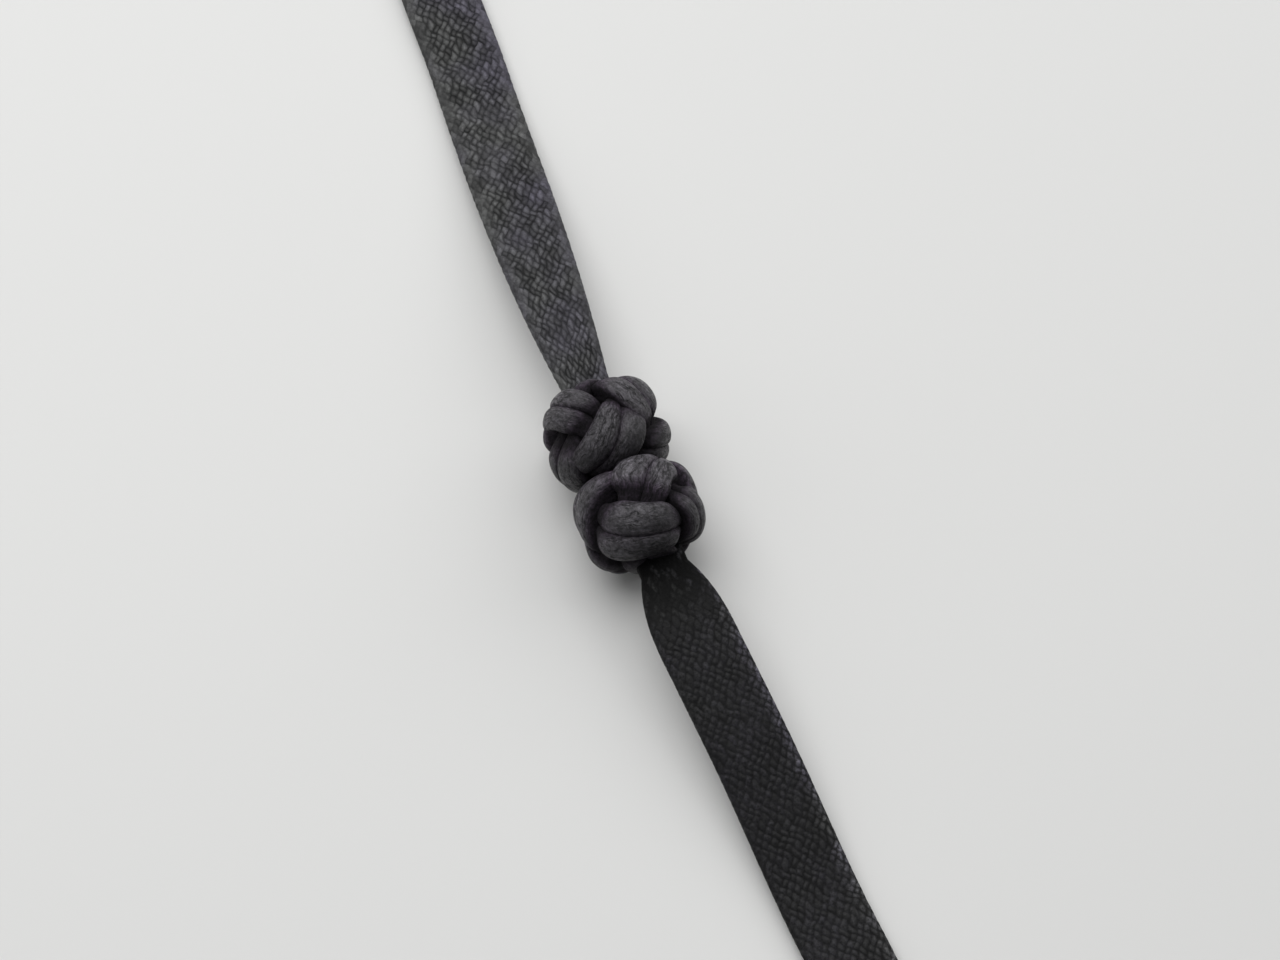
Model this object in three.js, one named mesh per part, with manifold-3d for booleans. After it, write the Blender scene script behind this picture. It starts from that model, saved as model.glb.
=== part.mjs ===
// Cord necklace: one flat woven cord laid out as a loop and closed by two sliding button knots.
// Millimetres, +Z up. The loop lies on the XY plane with its underside at z = 0, the knots are
// at the back (+Y) with the cord running through them along X, and the wearer's front is -Y.

import * as THREE from 'three';
import { mergeVertices } from 'three/addons/utils/BufferGeometryUtils.js';
import Module from 'manifold-3d';

// The flat cord
const CORD_WIDTH = 5.3;
const CORD_THICKNESS = 1.2;
const GATHERED_WIDTH = 3.3; // where a knot squeezes it
const LIE_HEIGHT = CORD_THICKNESS / 2; // height of the cord's middle where it lies on the surface
const RISE_LENGTH = 26; // how far from a knot the cord comes down to the surface
const SPREAD_LENGTH = { right: 20, left: 5.5 }; // how far from a knot it regains its full width
const SPREAD_POWER = 2.5; // it widens fast at first and then slowly
const CORD_STEPS = 80;
const CORD_SIDES = 8;
const STEP_CROWDING = 0.55; // how much shorter the steps are at the knots than on average

// The ball that a drawn knot fills: round at its mouth, where the cord leaves it, and boxy at the
// end where the two knots press on each other
const KNOT_WIDTH = 8.3;
const KNOT_LENGTH = 7.1;
const KNOT_GAP = 0.3; // between the two knots, and between a knot and the cord inside it
const MOUTH_POWER = 2.1;
const MEETING_POWER = 3.7;
const MEETING_STRETCH = 1.12;
const CORE_DEPTH = 1.5; // how far the folded cord under the ribs stays beneath the ball's skin

// The cord in a knot: folded lengthwise into two ribs, woven round the ball
const RIB_BESIDE = 1.0; // from the path to the middle of each rib
const RIB_UNDER = 0.8; // from the ball's skin to the middle of a rib
const RIB_WIDTH = 2.15;
const RIB_HEIGHT = 1.6;
const RIB_ROUNDNESS = { across: 0.74, above: 0.54 };
const DIVE_DEPTH = 1; // how much deeper a rib lies where it goes under
const DIVE_SHARPNESS = 1.6;
const PINCH = 0.14; // how much narrower it is there, on each side
const CROWDED = 0.9; // share of a bend's radius that the inside of the bend can fill
const MOUTH_DIP = 1.0; // how much the ribs sink round the mouth
const MOUTH_SPREAD = 26; // degrees
const LEADS = 4; // turns of the cord round the knot's own axis
const BIGHTS = 3; // bends at each end of that axis
const END_OVERLAP = 0.1; // how far the stretches of a rib run into each other, as a phase
const RIB_STEPS = 8;
const RIB_SIDES = 8;

// How each knot is tied: the latitude that its bends reach, the turn of its own axis from +Z, in
// degrees about X, then Y, then Z, and the pulls that drew it tight. A pull slides the weave near
// a spot on the ball, spreads it out from there, and fades with its reach in degrees.
const KNOTS = {
  left: {
    side: -1,
    bendLatitude: 63,
    turn: [-176, -20, 57],
    pulls: [
      { spot: [-0.95, 0, -0.3], slide: [0, 0.05, 0], spread: 0, reach: 30 },
      { spot: [-0.42, 0.33, 0.85], slide: [0, 0.05, 0], spread: 0.5, reach: 30 },
      { spot: [0.4, 0.85, 0.35], slide: [0, 0.12, -0.2], spread: 0, reach: 25 },
      { spot: [0.45, -0.1, 0.88], slide: [0.08, -0.18, 0], spread: 0, reach: 28 },
      { spot: [-0.75, -0.5, 0.45], slide: [-0.15, -0.35, 0], spread: 0, reach: 25 },
      { spot: [-0.6, -0.8, 0.1], slide: [-0.2, 0, 0.05], spread: 0, reach: 22 },
    ],
  },
  right: {
    side: 1,
    bendLatitude: 54,
    turn: [93, -10, -4],
    pulls: [
      { spot: [-0.8, -0.55, -0.15], slide: [0.1, -0.1, 0.35], spread: 0, reach: 30 },
      { spot: [-0.7, 0.7, 0], slide: [0.05, 0.28, -0.1], spread: 0, reach: 28 },
      { spot: [0.95, -0.1, 0.25], slide: [0, -0.1, -0.3], spread: 0, reach: 30 },
      { spot: [0.8, -0.1, 0.55], slide: [0, 0.2, 0.05], spread: 0, reach: 22 },
      { spot: [-0.8, 0.15, 0.6], slide: [0.05, -0.05, -0.05], spread: 0, reach: 25 },
      { spot: [0.05, -0.04, 1], slide: [0, 0, 0], spread: -0.35, reach: 20 },
    ],
  },
};

// Route of the cord's middle, anticlockwise from between the knots
const ROUTE = [
  [0, 115], [-10, 114.8], [-21, 114], [-33, 113.4], [-47, 112], [-64, 106.6],
  [-81, 94], [-97, 70], [-103, 42], [-102, 13], [-95, -15], [-84, -42],
  [-69, -68], [-50, -91], [-27, -110], [0, -117], [28, -110], [51, -91],
  [70, -67], [85, -41], [95, -14], [102, 14], [103, 43], [97, 71],
  [81, 95], [64, 107.1], [47, 112.2], [33, 113.3], [21, 114.15], [10, 114.8],
].map(([x, y]) => new THREE.Vector3(x, y, 0));

const UP = new THREE.Vector3(0, 0, 1);
const route = new THREE.CatmullRomCurve3(ROUTE, true, 'catmullrom', 0.5);
route.arcLengthDivisions = 2400;
const LOOP_LENGTH = route.getLength();

const wasm = await Module();
wasm.setup();

// A three.js geometry with its shared vertices merged, as a solid that can be joined and cut
function toSolid(geometry) {
  const bare = geometry.clone();
  bare.deleteAttribute('normal');
  bare.deleteAttribute('uv');
  const merged = mergeVertices(bare, 1e-5);
  return new wasm.Manifold(new wasm.Mesh({
    numProp: 3,
    vertProperties: new Float32Array(merged.attributes.position.array),
    triVerts: new Uint32Array(merged.index.array),
  }));
}

function toGeometry(solid) {
  const { vertProperties, triVerts } = solid.getMesh();
  const geometry = new THREE.BufferGeometry();
  geometry.setAttribute('position', new THREE.BufferAttribute(new Float32Array(vertProperties), 3));
  geometry.setIndex(new THREE.BufferAttribute(new Uint32Array(triVerts), 1));
  geometry.computeVertexNormals();
  return geometry;
}

// The solid without the small pockets shut in between its joined pieces
function outerSkin(solid) {
  return solid.decompose().reduce((a, b) => (a.volume() > b.volume() ? a : b));
}

// 0 before the start, 1 after the end, and a smooth step between them
function ease(value, start, end) {
  return THREE.MathUtils.smoothstep(value, start, end);
}

// Distance along the cord from between the knots, from minus to plus half the loop: minus on
// the right
function signedDistance(along) {
  return along > 0.5 ? (along - 1) * LOOP_LENGTH : along * LOOP_LENGTH;
}

function cordHeight(distance) {
  const fall = ease(Math.abs(distance), KNOT_LENGTH, KNOT_LENGTH + RISE_LENGTH);
  return THREE.MathUtils.lerp(KNOT_WIDTH / 2, LIE_HEIGHT, fall);
}

function cordWidth(distance) {
  const spread = distance < 0 ? SPREAD_LENGTH.right : SPREAD_LENGTH.left;
  const spreadShare = THREE.MathUtils.clamp((Math.abs(distance) - KNOT_LENGTH) / spread, 0, 1);
  return THREE.MathUtils.lerp(CORD_WIDTH, GATHERED_WIDTH, (1 - spreadShare) ** SPREAD_POWER);
}

function cordPoint(along) {
  const share = THREE.MathUtils.euclideanModulo(along, 1);
  const point = route.getPointAt(share);
  point.z = cordHeight(signedDistance(share));
  return point;
}

// The whole cord: a torus bent along the route, with a flattened section of rounded edges
function cordGeometry() {
  const geometry = new THREE.TorusGeometry(1, 0.5, CORD_SIDES, CORD_STEPS);
  const { position, uv } = geometry.attributes;
  const flatten = (value) => Math.sign(value) * Math.sqrt(Math.abs(value));
  const half = Math.PI / CORD_SIDES;
  const reach = flatten(Math.cos(half));
  for (let i = 0; i < position.count; i += 1) {
    const turn = uv.getX(i) % 1;
    const along = turn - (STEP_CROWDING * Math.sin(2 * Math.PI * turn)) / (2 * Math.PI);
    const around = 2 * Math.PI * (uv.getY(i) % 1) + half;
    const middle = cordPoint(along);
    const tangent = cordPoint(along + 1e-4).sub(cordPoint(along - 1e-4)).normalize();
    const outward = new THREE.Vector3().crossVectors(tangent, UP).normalize();
    const upward = new THREE.Vector3().crossVectors(outward, tangent);
    const width = cordWidth(signedDistance(along));
    middle.addScaledVector(outward, (flatten(Math.cos(around)) / reach) * (width / 2));
    middle.addScaledVector(upward, (flatten(Math.sin(around)) / reach) * (CORD_THICKNESS / 2));
    position.setXYZ(i, middle.x, middle.y, middle.z);
  }
  return toGeometry(toSolid(geometry));
}

// A knot's woven path, as directions from the middle of its ball: it winds LEADS times round the
// knot's own axis while its latitude swings BIGHTS times. The phase runs to 2 pi BIGHTS.
function outwardAt(knot, phase) {
  const latitude = THREE.MathUtils.degToRad(knot.bendLatitude) * Math.cos(phase);
  const longitude = (-phase * LEADS) / BIGHTS;
  const turn = new THREE.Euler(...knot.turn.map(THREE.MathUtils.degToRad), 'ZYX');
  return new THREE.Vector3(
    Math.cos(latitude) * Math.cos(longitude),
    Math.cos(latitude) * Math.sin(longitude),
    Math.sin(latitude),
  ).applyEuler(turn);
}

// The path's direction, the way to its side, and how it bends towards that side
function frameAt(knot, phase) {
  const outward = outwardAt(knot, phase);
  const before = outwardAt(knot, phase - 1e-3);
  const after = outwardAt(knot, phase + 1e-3);
  const step = after.clone().sub(before);
  const side = step.clone().cross(outward).normalize();
  const change = after.add(before).addScaledVector(outward, -2);
  return { outward, side, bend: change.dot(side) / (step.lengthSq() / 4) };
}

// 1 where the path passes over itself and -1 where it passes under
function overAndUnder(phase) {
  const swing = Math.sin(3 * phase) + 0.207 * (Math.sin(phase) - Math.sin(5 * phase));
  return Math.tanh(DIVE_SHARPNESS * swing) / Math.tanh(DIVE_SHARPNESS);
}

// A direction after the pulls: each fades as a bell curve of the angle from its spot
function pulled(outward, pulls) {
  const moved = outward.clone();
  for (const { spot, slide, spread, reach } of pulls) {
    const middle = new THREE.Vector3(...spot).normalize();
    const angle = outward.angleTo(middle) / THREE.MathUtils.degToRad(reach);
    const share = Math.exp(-(angle ** 2) / 2);
    moved.addScaledVector(new THREE.Vector3(...slide), share);
    moved.addScaledVector(outward.clone().sub(middle), share * spread);
  }
  return moved.normalize();
}

// The point at a depth under the skin of a knot's ball, where |x / a|^p + (r / b)^p is 1
function ballPoint(outward, depth, side) {
  const meeting = outward.x * side < 0;
  const power = meeting ? MEETING_POWER : MOUTH_POWER;
  const round = Math.hypot(outward.y, outward.z);
  const skin = (Math.abs(outward.x) ** power + round ** power) ** (-1 / power);
  const point = outward.clone().multiplyScalar(skin * (KNOT_WIDTH / 2) - depth);
  point.x *= ((meeting ? MEETING_STRETCH : 1) * KNOT_LENGTH) / KNOT_WIDTH;
  return point;
}

// The stretch of one rib over one crossing: a cylinder bent along the woven path and moulded to
// the ball, narrow and deep at both ends, where it goes under
function ribGeometry(knot, beside, start, end) {
  const geometry = new THREE.CylinderGeometry(1, 1, 1, RIB_SIDES, RIB_STEPS);
  const { position } = geometry.attributes;
  const rounded = (value, power) => Math.sign(value) * Math.abs(value) ** power;
  for (let i = 0; i < position.count; i += 1) {
    const phase = THREE.MathUtils.lerp(start, end, position.getY(i) + 0.5);
    const { outward, side, bend } = frameAt(knot, phase);
    const weave = overAndUnder(phase);
    const across = rounded(-position.getX(i), RIB_ROUNDNESS.across);
    const above = rounded(-position.getZ(i), RIB_ROUNDNESS.above);
    const offset = (beside + (across * RIB_WIDTH) / 2) * (1 - PINCH * (1 - weave));
    const slide = offset / (KNOT_WIDTH / 2);
    const crowding = Math.max(slide * bend, 1e-6) / CROWDED;
    outward.addScaledVector(side, (slide * Math.tanh(crowding)) / crowding).normalize();
    const moulded = pulled(outward, knot.pulls);
    const fromMouth = Math.acos(THREE.MathUtils.clamp(moulded.x * knot.side, -1, 1));
    const dip = Math.exp(-((fromMouth / THREE.MathUtils.degToRad(MOUTH_SPREAD)) ** 2) / 2);
    const dive = (DIVE_DEPTH / 2) * (1 - weave) + MOUTH_DIP * dip;
    const point = ballPoint(moulded, RIB_UNDER + dive - (above * RIB_HEIGHT) / 2, knot.side);
    position.setXYZ(i, point.x, point.y, point.z);
  }
  return geometry;
}

// The folded cord that fills the knot beneath its ribs
function coreGeometry(knot) {
  const geometry = new THREE.SphereGeometry(1, 16, 12);
  const { position } = geometry.attributes;
  for (let i = 0; i < position.count; i += 1) {
    const outward = new THREE.Vector3().fromBufferAttribute(position, i).normalize();
    const point = ballPoint(outward, CORE_DEPTH, knot.side);
    position.setXYZ(i, point.x, point.y, point.z);
  }
  return geometry;
}

// Phases at which the path crosses itself, every eighth of a turn except at the bends
function crossingPhases() {
  const phases = [];
  for (let i = 1; i < 8 * BIGHTS; i += 1) {
    if (i % 4 !== 0) phases.push((i * Math.PI) / 4);
  }
  return phases;
}

function box(sizeX, sizeY, sizeZ) {
  return new THREE.BoxGeometry(sizeX, sizeY, sizeZ);
}

function knotGeometry(knot) {
  let solid = toSolid(coreGeometry(knot));
  const phases = crossingPhases();
  const round = 2 * Math.PI * BIGHTS;
  for (const beside of [-RIB_BESIDE, RIB_BESIDE]) {
    for (let i = 0; i < phases.length; i += 2) {
      const under = i === 0 ? phases[phases.length - 1] - round : phases[i - 1];
      const rib = ribGeometry(knot, beside, under - END_OVERLAP, phases[i + 1] + END_OVERLAP);
      solid = solid.add(toSolid(rib));
    }
  }
  const bore = box(3 * KNOT_LENGTH, GATHERED_WIDTH + 2 * KNOT_GAP, CORD_THICKNESS + 2 * KNOT_GAP);
  solid = solid.subtract(toSolid(bore));
  const room = box(KNOT_LENGTH, 2 * KNOT_WIDTH, KNOT_WIDTH);
  return toGeometry(outerSkin(solid.intersect(toSolid(room))));
}

const cordMaterial = new THREE.MeshStandardMaterial({ color: 0x2e2e31, roughness: 0.62 });
const knotMaterial = new THREE.MeshStandardMaterial({ color: 0x29282b, roughness: 0.58 });

const necklace = new THREE.Group();
const cord = new THREE.Mesh(cordGeometry(), cordMaterial);
cord.name = 'woven_cord';
necklace.add(cord);

for (const [name, knot] of Object.entries(KNOTS)) {
  const mesh = new THREE.Mesh(knotGeometry(knot), knotMaterial);
  mesh.name = `button_knot_${name}`;
  mesh.position.set((knot.side * (KNOT_LENGTH + KNOT_GAP)) / 2, ROUTE[0].y, KNOT_WIDTH / 2);
  necklace.add(mesh);
}

export default necklace;
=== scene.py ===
# %% [markdown]
# # A woven cord necklace with two sliding button knots
#
# This lesson dresses the packed model of a cord necklace. The real thing is one length of flat
# black waxed braid. Each end is tied round the other half in a button knot, so pulling the knots
# apart makes the loop shorter. Here it lies on a table with its knots drawn together, and the
# camera looks closely at them. Every piece is a surface worked out with numpy and put into a
# mesh, and every finish is made of shader nodes.

# %% Load the frame
import math

import bpy
import numpy as np
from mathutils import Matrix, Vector


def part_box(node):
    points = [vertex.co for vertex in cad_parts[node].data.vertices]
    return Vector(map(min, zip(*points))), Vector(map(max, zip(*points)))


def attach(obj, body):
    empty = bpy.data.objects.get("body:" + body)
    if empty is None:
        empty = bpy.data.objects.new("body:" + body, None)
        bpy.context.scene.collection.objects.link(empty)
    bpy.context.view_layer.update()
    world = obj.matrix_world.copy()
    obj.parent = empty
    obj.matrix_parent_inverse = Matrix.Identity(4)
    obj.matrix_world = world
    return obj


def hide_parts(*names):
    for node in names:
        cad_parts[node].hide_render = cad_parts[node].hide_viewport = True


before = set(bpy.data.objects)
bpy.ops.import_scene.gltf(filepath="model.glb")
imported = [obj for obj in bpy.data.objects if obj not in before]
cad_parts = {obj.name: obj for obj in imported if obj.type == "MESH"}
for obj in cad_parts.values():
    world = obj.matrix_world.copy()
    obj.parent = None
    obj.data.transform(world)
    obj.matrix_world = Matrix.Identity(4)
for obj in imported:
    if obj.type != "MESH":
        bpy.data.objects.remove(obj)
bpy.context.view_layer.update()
MM = 0.001
print("nodes:", sorted(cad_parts))

# %% [markdown]
# ## Where things are
#
# Each knot fills a ball that lies on the table, so its middle is half its width up. How far it
# stands from the middle of the two could be typed in. Read from the box of its packed solid, it
# puts the dressed knot in the plain one's place. A helper turns an azimuth and an elevation into
# a direction, so the camera and the lights can be placed in words: azimuth 0 stands in front of
# the loop and looks along +Y.

# %% Find the knots
KNOT_LENGTH, KNOT_WIDTH = 7.1 * MM, 8.3 * MM
KNOT_MIDDLE_HEIGHT = KNOT_WIDTH / 2
KNOT_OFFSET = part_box("button_knot_right")[0].x + KNOT_LENGTH / 2
KNOTS_MIDDLE = Vector((0.0, 115 * MM, KNOT_MIDDLE_HEIGHT))


def direction(azimuth, elevation):
    """Unit vector (sin a cos e, -cos a cos e, sin e) from a target towards an onlooker."""
    a, e = math.radians(azimuth), math.radians(elevation)
    return Vector((math.sin(a) * math.cos(e), -math.cos(a) * math.cos(e), math.sin(e)))


print("knots' middle, mm:", [round(x / MM, 2) for x in KNOTS_MIDDLE])
print("each knot stands from there, mm:", round(KNOT_OFFSET / MM, 2))

# %% [markdown]
# ## The camera
#
# A close-up of a small thing is taken from a hand's breadth away with a long lens. The camera
# could be placed by hand. Working it out from a distance and the width of the view at the knots
# keeps the scale known: the lens is the sensor's width times the distance, over that width.

# %% Place the camera
VIEW_DISTANCE = 200 * MM
VIEW_WIDTH = 83.1 * MM
VIEW_AZIMUTH, VIEW_ELEVATION = 248.1, 69.0
OFF_CENTRE_RIGHT, OFF_CENTRE_DOWN = 1.14 * MM, 0.33 * MM

camera_data = bpy.data.cameras.new("close_up")
camera_data.sensor_width = 36.0
camera_data.lens = camera_data.sensor_width * VIEW_DISTANCE / VIEW_WIDTH
camera_data.clip_start, camera_data.clip_end = 0.01, 10.0
camera = bpy.data.objects.new("close_up", camera_data)
bpy.context.scene.collection.objects.link(camera)
bpy.context.scene.camera = camera

back = direction(VIEW_AZIMUTH, VIEW_ELEVATION)
turn = (-back).to_track_quat("-Z", "Y")
view_right, view_up = turn @ Vector((1, 0, 0)), turn @ Vector((0, 1, 0))
looked_at = KNOTS_MIDDLE + view_right * OFF_CENTRE_RIGHT - view_up * OFF_CENTRE_DOWN
camera.location = looked_at + back * VIEW_DISTANCE
camera.rotation_mode = "QUATERNION"
camera.rotation_quaternion = turn
print("lens, mm:", round(camera_data.lens, 1))

# %% [markdown]
# ## From a grid of points to a mesh
#
# A cord is a tube: one way round its section and one way along its length. Both ways close on
# themselves here, so one helper turns any such grid of points into a mesh. Its UV map counts
# yarns instead of running from 0 to 1, and the braid's pattern reads that map, so the weave
# follows the cord through every bend.


# %% Make meshes from grids
def closed_grid(points, uv):
    """Faces and corner UVs of a grid that wraps in both directions.

    points is rows x columns x 3. Face (i, j) joins points (i, j), (i+1, j), (i+1, j+1) and
    (i, j+1), counted modulo the grid's size. uv is one row and one column larger and isn't
    wrapped, so the pattern runs on across the seam.
    """
    rows, columns = points.shape[:2]
    i, j = np.meshgrid(np.arange(rows), np.arange(columns), indexing="ij")
    corners = [(i, j), (i + 1, j), (i + 1, j + 1), (i, j + 1)]
    faces = np.stack([(a % rows) * columns + b % columns for a, b in corners], axis=-1)
    return faces.reshape(-1, 4), np.stack([uv[a, b] for a, b in corners], axis=2).reshape(-1, 2)


def build_piece(name, grids):
    """One mesh object from several closed grids: their points, faces and UVs one after another."""
    points = np.concatenate([grid.reshape(-1, 3) for grid, _ in grids])
    starts = np.cumsum([0] + [grid.size // 3 for grid, _ in grids[:-1]])
    wrapped = [closed_grid(grid, uv) for grid, uv in grids]
    faces = np.concatenate([f + start for (f, _), start in zip(wrapped, starts)])
    corner_uv = np.concatenate([uv for _, uv in wrapped])
    mesh = bpy.data.meshes.new(name)
    mesh.vertices.add(len(points))
    mesh.vertices.foreach_set("co", points.astype(np.float32).ravel())
    mesh.loops.add(faces.size)
    mesh.loops.foreach_set("vertex_index", faces.astype(np.int32).ravel())
    mesh.polygons.add(len(faces))
    mesh.polygons.foreach_set("loop_start", np.arange(0, faces.size, 4, dtype=np.int32))
    mesh.polygons.foreach_set("use_smooth", np.ones(len(faces), dtype=bool))
    mesh.update(calc_edges=True)
    yarns = mesh.uv_layers.new(name="yarns")
    yarns.data.foreach_set("uv", corner_uv.astype(np.float32).ravel())
    piece = bpy.data.objects.new(name, mesh)
    bpy.context.scene.collection.objects.link(piece)
    print(f"{name}: {2 * len(faces)} triangles")
    return piece


# %% [markdown]
# ## The route of the cord
#
# A necklace laid on a table keeps a smooth egg shape: nearly straight through the stiff knots,
# round at the shoulders, and widest near the back. The route is a short list of given points,
# joined by a closed Catmull-Rom curve, which passes through each of them.

# %% Lay the route
ROUTE = MM * np.array([
    [0, 115], [-10, 114.8], [-21, 114], [-33, 113.4], [-47, 112], [-64, 106.6],
    [-81, 94], [-97, 70], [-103, 42], [-102, 13], [-95, -15], [-84, -42],
    [-69, -68], [-50, -91], [-27, -110], [0, -117], [28, -110], [51, -91],
    [70, -67], [85, -41], [95, -14], [102, 14], [103, 43], [97, 71],
    [81, 95], [64, 107.1], [47, 112.2], [33, 113.3], [21, 114.15], [10, 114.8],
])
STEPS_A_SPAN = 200


def catmull_rom(points, steps):
    """A closed uniform Catmull-Rom curve, steps places to a span.

    Between p1 and p2 it is the cubic with value p1 and slope (p2-p0)/2 at 0, and value p2 and
    slope (p3-p1)/2 at 1.
    """
    t = np.linspace(0, 1, steps, endpoint=False)[None, :, None]
    p0, p1, p2, p3 = (np.roll(points, shift, axis=0)[:, None] for shift in (1, 0, -1, -2))
    slope_1, slope_2 = (p2 - p0) / 2, (p3 - p1) / 2
    curve = (2 * t**3 - 3 * t**2 + 1) * p1 + (t**3 - 2 * t**2 + t) * slope_1
    curve = curve + (3 * t**2 - 2 * t**3) * p2 + (t**3 - t**2) * slope_2
    return curve.reshape(-1, points.shape[1])


fine_route = catmull_rom(ROUTE, STEPS_A_SPAN)
fine_route = np.vstack([fine_route, fine_route[:1]])
fine_length = np.concatenate([[0], np.cumsum(np.linalg.norm(np.diff(fine_route, axis=0), axis=1))])
LOOP_LENGTH = fine_length[-1]
print("loop, mm:", round(LOOP_LENGTH / MM, 1))

# %% [markdown]
# ## How the cord rises, and how it is squeezed
#
# The knots are fatter than the cord, so the cord comes down to the table over a few centimetres
# on both sides, by a smooth step of the distance from the middle of the knots. Inside a knot it is
# gathered to a narrow bundle. Outside it spreads, fast at first and then slowly, as a stiff braid
# does, and a power of the way that is left gives that curve. Distances from the middle are
# signed: plus on the left half of the cord and minus on the right.

# %% Shape the run of the cord
CORD_WIDTH, CORD_THICKNESS, GATHERED_WIDTH = 5.3 * MM, 1.2 * MM, 3.3 * MM
RISE_LENGTH = 26 * MM
SPREAD_LENGTH = {"left": 5.5 * MM, "right": 20 * MM}
SPREAD_POWER = 2.5


def smooth_step(x, start, end):
    """0 before start, 1 after end, and 3t^2 - 2t^3 of the share t in between."""
    t = np.clip((x - start) / (end - start), 0, 1)
    return t * t * (3 - 2 * t)


def cord_height(distance):
    """Height of the cord's middle at a signed distance from the middle of the knots."""
    fall = smooth_step(np.abs(distance), KNOT_LENGTH, KNOT_LENGTH + RISE_LENGTH)
    return KNOT_MIDDLE_HEIGHT + (CORD_THICKNESS / 2 - KNOT_MIDDLE_HEIGHT) * fall


def cord_width(distance):
    """Width of the cord: gathered in the knots and full beyond them.

    At a share s of the way from the knot to where the cord is full, it is narrower than full by
    (1 - s)^SPREAD_POWER of the gathering.
    """
    spread = np.where(distance < 0, SPREAD_LENGTH["right"], SPREAD_LENGTH["left"])
    share = np.clip((np.abs(distance) - KNOT_LENGTH) / spread, 0, 1)
    return CORD_WIDTH - (CORD_WIDTH - GATHERED_WIDTH) * (1 - share) ** SPREAD_POWER


def centre_line(along):
    """Points at distances along the loop from between the knots, and those distances signed."""
    wrapped = np.mod(along, LOOP_LENGTH)
    signed = np.where(wrapped > LOOP_LENGTH / 2, wrapped - LOOP_LENGTH, wrapped)
    x = np.interp(wrapped, fine_length, fine_route[:, 0])
    y = np.interp(wrapped, fine_length, fine_route[:, 1])
    return np.stack([x, y, cord_height(signed)], axis=-1), signed


for distance in (-20 * MM, -8 * MM, 8 * MM, 20 * MM):
    print(f"{distance / MM:.0f} mm from the middle the cord is {cord_width(distance) / MM:.2f} mm",
          f"wide and its middle {cord_height(distance) / MM:.2f} mm up")

# %% [markdown]
# ## The braid's relief
#
# A flat cord is a woven tube pressed flat. Two families of yarns wind round it in opposite
# directions and pass over and under each other, so its skin is a field of small rounded nubs. In
# yarn counts (x along, y around), a = y - x and b = y + x count the yarns of the two families.
# In each cell between whole numbers one yarn lies on top and shows as a pillow that is longer
# along the yarn than across it, and the families take turns. A hand-pulled braid isn't even, so
# the counts are first bent a little by a few slow waves.

# %% Work out the nubs
YARNS_AROUND = 20
YARNS_ALONG = 860
UNEVEN = 0.09
NUB_SLIMNESS = (2.22, 1.72)
NUB_POWER, NUB_STEEPNESS = 2.5, 0.8


def uneven(x, y):
    """Yarn counts moved by UNEVEN times the sum of three sine waves, periodic round the cord."""
    around = 2 * np.pi * y / YARNS_AROUND
    dx = np.sin(1.9 * x + around) + np.sin(0.83 * x - 3 * around + 1) + np.sin(3.1 * x + 5 * around)
    dy = np.sin(2.3 * x - around + 2) + np.sin(0.71 * x + 2 * around) + np.sin(3.7 * x - 4 * around)
    return x + UNEVEN * dx, y + UNEVEN * dy


def nub(across, along):
    """Height of one nub: 1 - (|s across|^p + |t along|^p)^q, and never below 0.

    s and t are NUB_SLIMNESS, p is NUB_POWER and q is NUB_STEEPNESS.
    """
    away = sum(np.abs(slimness * way) ** NUB_POWER
               for slimness, way in zip(NUB_SLIMNESS, (across, along)))
    return np.maximum(1 - away**NUB_STEEPNESS, 0)


def nubs(x, y):
    """Height of the braid from 0 in the gaps to 1 on the nubs.

    u and v are the places in the cell across and along the yarn on top, from -1/2 to 1/2. A nub
    is longer than its cell, so beside it the next cell's yarn may lie higher, and that one shows.
    """
    a, b = y - x, y + x
    fa, fb = a - np.floor(a) - 0.5, b - np.floor(b) - 0.5
    first_on_top = (np.floor(a) + np.floor(b)) % 2 == 0
    u, v = np.where(first_on_top, fa, fb), np.where(first_on_top, fb, fa)
    return np.maximum(nub(u, v), nub(v, 1 - np.abs(u)))


patch_of_braid = nubs(*np.mgrid[0:8:0.05, 0:8:0.05])
print(f"the braid is {patch_of_braid.mean():.2f} high on average and {patch_of_braid.max():.2f} at most")

# %% [markdown]
# ## Rings of points
#
# The cord is swept: one flattened ring of points is repeated all along the route. Its corners are
# rounded by a power of the sine and cosine. Points spaced evenly would be wasted where nobody
# looks. So the rings stand close together near the knots, where the camera is, and further apart
# on the rest of the loop, and the points of a ring stand twice as close on its top.

# %% Space the rings and their points
NEAR_KNOTS = 40 * MM
NEAR_RINGS, FAR_RINGS, SECTION_POINTS = 800, 230, 96
SECTION_POWERS = (0.62, 0.62)
FINE_ANGLES = 4001


def ring_places():
    """Distances of the rings: evenly close near the knots at both ends, evenly wide between."""
    near = np.linspace(0, NEAR_KNOTS, NEAR_RINGS // 2, endpoint=False)
    far = np.linspace(NEAR_KNOTS, LOOP_LENGTH - NEAR_KNOTS, FAR_RINGS, endpoint=False)
    return np.concatenate([near, far, (LOOP_LENGTH - near)[::-1][:-1]])


def rounded(angle, powers):
    """Cosine and sine of an angle, each raised to a power with its sign kept."""
    return [np.sign(f) * np.abs(f) ** power
            for f, power in zip((np.cos(angle), np.sin(angle)), powers)]


def section_angles():
    """Angles of the section's points: evenly spaced by length, and twice as close on top."""
    angle = np.linspace(-np.pi / 2, 3 * np.pi / 2, FINE_ANGLES)
    across, above = rounded(angle, SECTION_POWERS)
    step = np.hypot(np.diff(across) * CORD_WIDTH / 2, np.diff(above) * CORD_THICKNESS / 2)
    weighed = np.concatenate([[0], np.cumsum(np.where(above[1:] > 0, 2, 1) * step)])
    return np.interp(np.linspace(0, weighed[-1], SECTION_POINTS, endpoint=False), weighed, angle)


print(len(ring_places()), "rings of", SECTION_POINTS, "points")

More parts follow.
